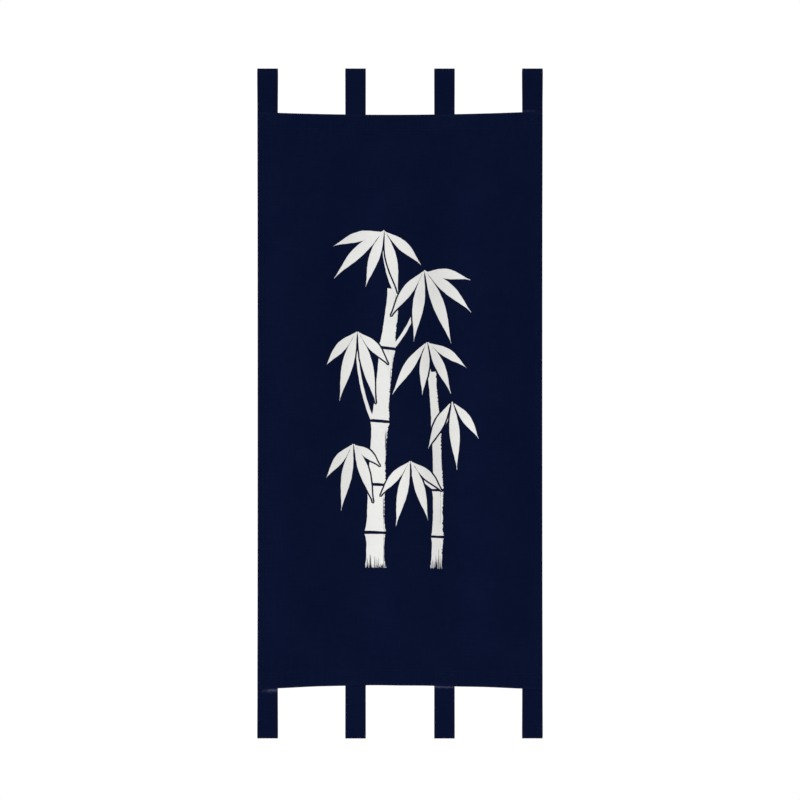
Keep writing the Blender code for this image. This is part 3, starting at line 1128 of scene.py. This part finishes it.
def make_loop(loop):
    """One loop as a closed sheet, over its own solid. Returns its piece, its surface and its length."""
    surface, length = strip_surface(loop)
    across_it = mirrored(places_across(), TAB_WIDTH)[:: loop.up]
    w, s = np.meshgrid(across_it, mirrored(places_along(length, loop.radius), length))
    side, end = np.minimum(w, TAB_WIDTH - w), np.minimum(s, length - s)
    thick = PLY * (PLAIN_SHARE + (1 - PLAIN_SHARE) * hill(side / TURNED_IN))
    thick = thick - TAB_GROOVE_DEPTH * groove(side - EDGE_SEAM, TAB_GROOVE_WIDTH)
    half_ply = thick / 2 * quarter_round(np.minimum(side, end), PLY / 2)
    middle, name = surface(w, s), "noren_" + loop.name
    mesh = closed_sheet(name, middle, half_ply, np.stack([w + MAP_SPREAD * abs(loop.x), s + loop.x], -1))
    # stores the loop's wear and, on three loops, a painted highlight at the bend
    keep_values(mesh, "wear_and_highlight", two_sided(loop_wear_and_highlight(loop, middle[..., 0], side, s, length)))
    return shown(name, mesh, TAB_CLOTH), surface, length


loops = {loop.name: make_loop(loop) for loop in LOOPS}
for name, (piece, _, length) in loops.items():
    print(f"{name}: a strip {1000 * length:.0f} mm long, {len(piece.data.polygons)} triangles")

# %% [markdown]
# ## Stitching
# Every seam is a row of lockstitches in navy thread, three millimetres long on the hems. A stitch is a
# short bead that is fat in the middle and dives into the cloth at both ends. One bead of thirty triangles
# is a template, and numpy lays it along all the seams of a piece at once: each stitch is stretched between
# two neighbouring needle holes, and stands off the surface along its normal. The rows are given in the
# surface's own two measures, so they follow every fold.

# %% The template bead
THREAD_RADIUS = 0.00017
BEAD_SIDES = 5
BEAD_RINGS = ((-0.70, 0.30, 0.72), (0.0, 0.62, 1.0), (0.70, 0.30, 0.72))  # along, lift and size of each ring
BEAD_DIVE = 1.1  # how deep both its ends lie, in thread radii, as the lifts and sizes are too


def make_bead():
    """Points as along (-1 to 1), out and sideways in metres: three rings of five and a point at each end."""
    angle = 2 * np.pi * np.arange(BEAD_SIDES) / BEAD_SIDES
    rings = [
        np.stack([np.full(BEAD_SIDES, along), lift + size * np.cos(angle), size * np.sin(angle)], 1)
        for along, lift, size in BEAD_RINGS
    ]
    ends = [[-1, -BEAD_DIVE, 0], [1, -BEAD_DIVE, 0]]
    points = np.concatenate([*rings, ends]) * (1, THREAD_RADIUS, THREAD_RADIUS)
    corner = np.arange(BEAD_SIDES)
    following = (corner + 1) % BEAD_SIDES
    first_end, last_end, last = len(points) - 2, len(points) - 1, (len(BEAD_RINGS) - 1) * BEAD_SIDES
    faces = [np.stack([np.full(BEAD_SIDES, first_end), following, corner], 1)]
    for ring in range(len(BEAD_RINGS) - 1):
        a, b = corner + ring * BEAD_SIDES, following + ring * BEAD_SIDES
        faces += [np.stack([a, b, b + BEAD_SIDES], 1), np.stack([a, b + BEAD_SIDES, a + BEAD_SIDES], 1)]
    faces.append(np.stack([np.full(BEAD_SIDES, last_end), corner + last, following + last], 1))
    return points, np.concatenate(faces)


BEAD_POINTS, BEAD_FACES = make_bead()
print(f"one stitch: {len(BEAD_POINTS)} points, {len(BEAD_FACES)} triangles")

# %% Rows of stitches
STITCH_FILL = 0.90  # how much of the pitch a stitch covers
HEM_PITCH, TAB_PITCH = 0.0030, 0.0029
NEAR = 0.0002  # how far to each side the surface is looked at, to work out its normal


def seam(surface, start, end, pitch, lift, outward):
    """A straight row in the surface's two measures: each stitch's middle, its way along and its normal.

    The normal is the cross product of two small steps on the surface, times outward, which is 1 or -1.
    """
    count = max(1, round(math.dist(start, end) / pitch))
    share = (np.arange(count) + 0.5) / count
    a, b = (start[axis] + share * (end[axis] - start[axis]) for axis in (0, 1))
    reach_a, reach_b = ((end[axis] - start[axis]) * STITCH_FILL / count / 2 for axis in (0, 1))
    along = (surface(a + reach_a, b + reach_b) - surface(a - reach_a, b - reach_b)) / 2
    by_a, by_b = surface(a + NEAR, b) - surface(a - NEAR, b), surface(a, b + NEAR) - surface(a, b - NEAR)
    normal = outward * unit(np.cross(by_a, by_b))
    return surface(a, b) + normal * lift, along, normal


def sewn(name, rows, material):
    """All stitches of these rows as one mesh: the bead laid out along, out and sideways at each stitch."""
    middle, along, normal = (np.concatenate(part) for part in zip(*rows))
    sideways = unit(np.cross(along, normal))
    place = middle[:, None] + BEAD_POINTS[:, 0, None] * along[:, None]
    place = place + BEAD_POINTS[:, 1, None] * normal[:, None] + BEAD_POINTS[:, 2, None] * sideways[:, None]
    faces = BEAD_FACES + (np.arange(len(middle)) * len(BEAD_POINTS))[:, None, None]
    mesh = smooth_mesh(name, place.reshape(-1, 3), faces.reshape(-1, 3))
    print(f"{name}: {len(middle)} stitches, {len(mesh.polygons)} triangles")
    return shown(name, mesh, material)


print(f"hems have {0.01 / HEM_PITCH:.1f} stitches a centimetre, and loops {0.01 / TAB_PITCH:.1f}")

# %% The thread's material
THREAD_NAVY = (0.0040, 0.0075, 0.0290, 1.0)
THREAD_PALE = (0.0090, 0.0140, 0.0430, 1.0)
THREAD_FINISH = {**COTTON_FINISH, "Sheen Weight": 0.02, "Specular IOR Level": 0.12, "Roughness": 0.62}
TONE_SCALE, TONES = 90.0, Rise(0.35, 0.7)
FIBRE_SCALE, FIBRE_SHARE = 2600.0, 0.4
TWIST_SCALE, TWIST_BEND, TWIST_DEPTH = 900.0, 1.5, 0.00006


def make_thread():
    """Polished cotton thread: a little glossier than the cloth, with its twist as a fine slanting bump."""
    material, w, shader = new_material("navy_thread", THREAD_FINISH)
    place = w.output("ShaderNodeTexCoord", "Object")
    fibres, tone = w.noise(place, FIBRE_SCALE, detail=1.0), w.noise(place, TONE_SCALE)
    w.put(w.blend(w.smooth(tone, TONES), THREAD_NAVY, THREAD_PALE), shader["Base Color"])
    strands = {"Vector": place, "Scale": TWIST_SCALE, "Distortion": TWIST_BEND}
    twist = w.output("ShaderNodeTexWave", "Fac", strands, bands_direction="DIAGONAL")
    w.put(w.bump((fibres * FIBRE_SHARE + twist) * TWIST_DEPTH), shader["Normal"])
    return material


NAVY_THREAD = make_thread()
print("material:", NAVY_THREAD.name)

# %% Where the seams run
SIDE_SEAM, END_SEAM = SIDE_HEM - SEAM_INSET, END_HEM - SEAM_INSET
BOX_HALF_WIDTH = 0.0172  # of the crossed box that holds a loop's end
BOX_NEAR, BOX_FAR = 0.0050, 0.0255  # its two ends, measured from the panel's edge
ROW_START, TAB_ROW_START = 0.0020, 0.0015  # how far from the edge a row starts and ends, on panel and loops
SUNK = -GROOVE_DEPTH / 2


def crossed_box(left, right, low, high):
    """The six rows of a box with both its diagonals, as starts and ends."""
    a, b, c, d = (left, low), (right, low), (right, high), (left, high)
    return ((a, b), (b, c), (c, d), (d, a), (a, c), (b, d))


side_places, end_places = (SIDE_SEAM, PANEL_WIDTH - SIDE_SEAM), (END_SEAM, PANEL_HEIGHT - END_SEAM)
hem_rows = [((place, END_SEAM), (place, PANEL_HEIGHT - END_SEAM)) for place in side_places]
hem_rows += [((ROW_START, place), (PANEL_WIDTH - ROW_START, place)) for place in end_places]
panel_rows = [
    seam(surface, *row, HEM_PITCH, SUNK, outward)
    for surface, outward in ((panel_front, 1), (panel_back, -1))
    for row in hem_rows
]
for middle_x in TAB_CENTRES:
    left, right = (middle_x + PANEL_WIDTH / 2 + side * BOX_HALF_WIDTH for side in (-1, 1))
    for low, high in ((BOX_NEAR, BOX_FAR), (PANEL_HEIGHT - BOX_FAR, PANEL_HEIGHT - BOX_NEAR)):
        box = crossed_box(left, right, low, high)
        panel_rows += [seam(panel_front, *row, TAB_PITCH, 0.0, 1) for row in box]
panel_stitching = sewn("noren_panel_stitching", panel_rows, NAVY_THREAD)

# %% The loops' stitches
FACE = PLY * PLAIN_SHARE / 2  # from the strip's middle surface to its face


def loop_stitching(loop, surface, length):
    """A row inside each long edge, on both faces of the strip, and the crossed box on its back ply."""
    rows = []
    for place in (EDGE_SEAM, TAB_WIDTH - EDGE_SEAM):
        for outward in (loop.up, -loop.up):
            row = ((place, TAB_ROW_START), (place, length - TAB_ROW_START))
            rows.append(seam(surface, *row, TAB_PITCH, FACE, outward))
    left, right = (TAB_WIDTH / 2 + side * BOX_HALF_WIDTH for side in (-1, 1))
    low, high = (length - TAB_LAP + reach for reach in (BOX_NEAR, BOX_FAR))
    rows += [seam(surface, *row, TAB_PITCH, FACE, loop.up) for row in crossed_box(left, right, low, high)]
    return sewn(f"noren_{loop.name}_stitching", rows, NAVY_THREAD)


tab_stitching = {loop.name: loop_stitching(loop, *loops[loop.name][1:]) for loop in LOOPS}

# %% [markdown]
# ## Camera, light and floor
# The photograph looks straight at the cloth, with no visible convergence, so the camera is far away with a
# long lens. Its distance is worked out so that the picture covers the same height of cloth. The light is
# soft and nearly white, with a wide lamp far to one side that brings out the folds. The backdrop is pure
# white to the camera, but lights the cloth with only half that strength, or it would drown the lamps. The
# pale floor fades into it towards its rim, so that no horizon shows.

# %% Camera
PICTURE_SIDE = 1.6818
PICTURE_MIDDLE_Z = -0.6974
LENS, SENSOR = 135.0, 36.0

camera_data = bpy.data.cameras.new("camera")
camera_data.lens, camera_data.sensor_width = LENS, SENSOR
camera = placed("camera", camera_data)
camera.location = (0, FRONT_Y - PICTURE_SIDE * LENS / SENSOR, PICTURE_MIDDLE_Z)
camera.rotation_euler = (math.pi / 2, 0, 0)
bpy.context.scene.camera = camera
print(f"camera {-camera.location.y:.2f} m away, picture {PICTURE_SIDE:.3f} m wide")

# %% Lamps
Lamp = namedtuple("Lamp", "name place spread strength")  # a sun: the angle that it fills is its softness
LAMPS = (
    Lamp("key", (-3.4, -1.7, 1.0), 14.0, 2.1),
    Lamp("fill", (2.0, -3.2, 0.4), 50.0, 0.60),
    Lamp("back_key", (3.0, 2.0, 1.4), 18.0, 1.6),
    Lamp("back_fill", (-1.2, 3.2, 0.4), 50.0, 0.45),
)

for lamp in LAMPS:
    data = bpy.data.lights.new(lamp.name, "SUN")
    data.angle, data.energy = math.radians(lamp.spread), lamp.strength
    made = placed(lamp.name, data)
    made.location = Vector(lamp.place) + Vector((0, 0, PICTURE_MIDDLE_Z))
    made.rotation_euler = (-Vector(lamp.place)).to_track_quat("-Z", "Y").to_euler()
print("lamps:", ", ".join(lamp.name for lamp in LAMPS))

# %% Backdrop
BACKDROP, AMBIENT = 1.02, 0.560  # the world's strength as the camera sees it, and as it lights the cloth
PURE_WHITE = (1.0, 1.0, 1.0, 1.0)

world = bpy.data.worlds.new("studio")
world.use_nodes = True
w = Wiring(world.node_tree)
seen = world.node_tree.nodes["Background"]
w.put(PURE_WHITE, seen.inputs["Color"])
w.put(BACKDROP, seen.inputs["Strength"])
lighting = w.output("ShaderNodeBackground", 0, {"Color": PURE_WHITE, "Strength": AMBIENT})
by_camera = w.output("ShaderNodeLightPath", "Is Camera Ray")
mixed = w.output("ShaderNodeMixShader", 0, {0: by_camera, 1: lighting, 2: Output(w, seen.outputs[0])})
w.put(mixed, world.node_tree.nodes["World Output"].inputs["Surface"])
bpy.context.scene.world = world
bpy.context.scene.view_settings.view_transform = "Standard"
print("backdrop", BACKDROP, "as it is seen,", AMBIENT, "as it lights the cloth")

# %% Floor
FLOOR_Z, FLOOR_RADIUS, FLOOR_SIDES = -2.0, 2.9, 96
FLOOR_FADES_FROM = 0.6  # the floor is whole up to this radius, and gone at its rim
FLOOR_FINISH = {"Base Color": (0.86, 0.86, 0.86, 1.0), "Roughness": 0.9, "Specular IOR Level": 0.1}

angle = np.linspace(0, 2 * np.pi, FLOOR_SIDES, endpoint=False)
x, y = FLOOR_RADIUS * np.cos(angle), FLOOR_RADIUS * np.sin(angle)
ring = np.stack([x, y, np.full(angle.shape, FLOOR_Z)], -1)
floor_mesh = bpy.data.meshes.new("floor")
floor_mesh.from_pydata(ring.tolist(), [], [list(range(len(ring)))])
floor_material, w, floor_shader = new_material("pale_floor", FLOOR_FINISH)
from_middle = w.vector("MULTIPLY", w.output("ShaderNodeTexCoord", "Object"), (1, 1, 0))
radius = w.calc("SQRT", w.vector("DOT_PRODUCT", from_middle, from_middle))
w.put(w.smooth(radius, Rise(FLOOR_FADES_FROM, FLOOR_RADIUS, 1.0, 0.0)), floor_shader["Alpha"])
floor = shown("floor", floor_mesh, floor_material)
floor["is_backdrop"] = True
print(f"floor {-FLOOR_Z:.1f} m below the top of the loops")

# %% [markdown]
# ## The pieces on the part's body
# Each piece rides on the part's one body, and each piece of cloth stands in for its solid, which is hidden.
# The panel hangs from the top loops, the bottom loops hang from the panel, and the top loops hang on the
# rod, which isn't part of this. The panel is cut with its hems let out. A strip's edges are folded in and
# stitched down before it becomes a loop, and it is cut more than twice as wide.

for piece in (panel, panel_stitching):
    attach(piece, "root")
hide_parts("panel")
for name, (piece, _, length) in loops.items():
    for each in (piece, tab_stitching[name]):
        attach(each, "root")
    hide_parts(name)

# %% The visual box
low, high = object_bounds()
print("visual box:", [round(value, 4) for value in (*low, *high)])
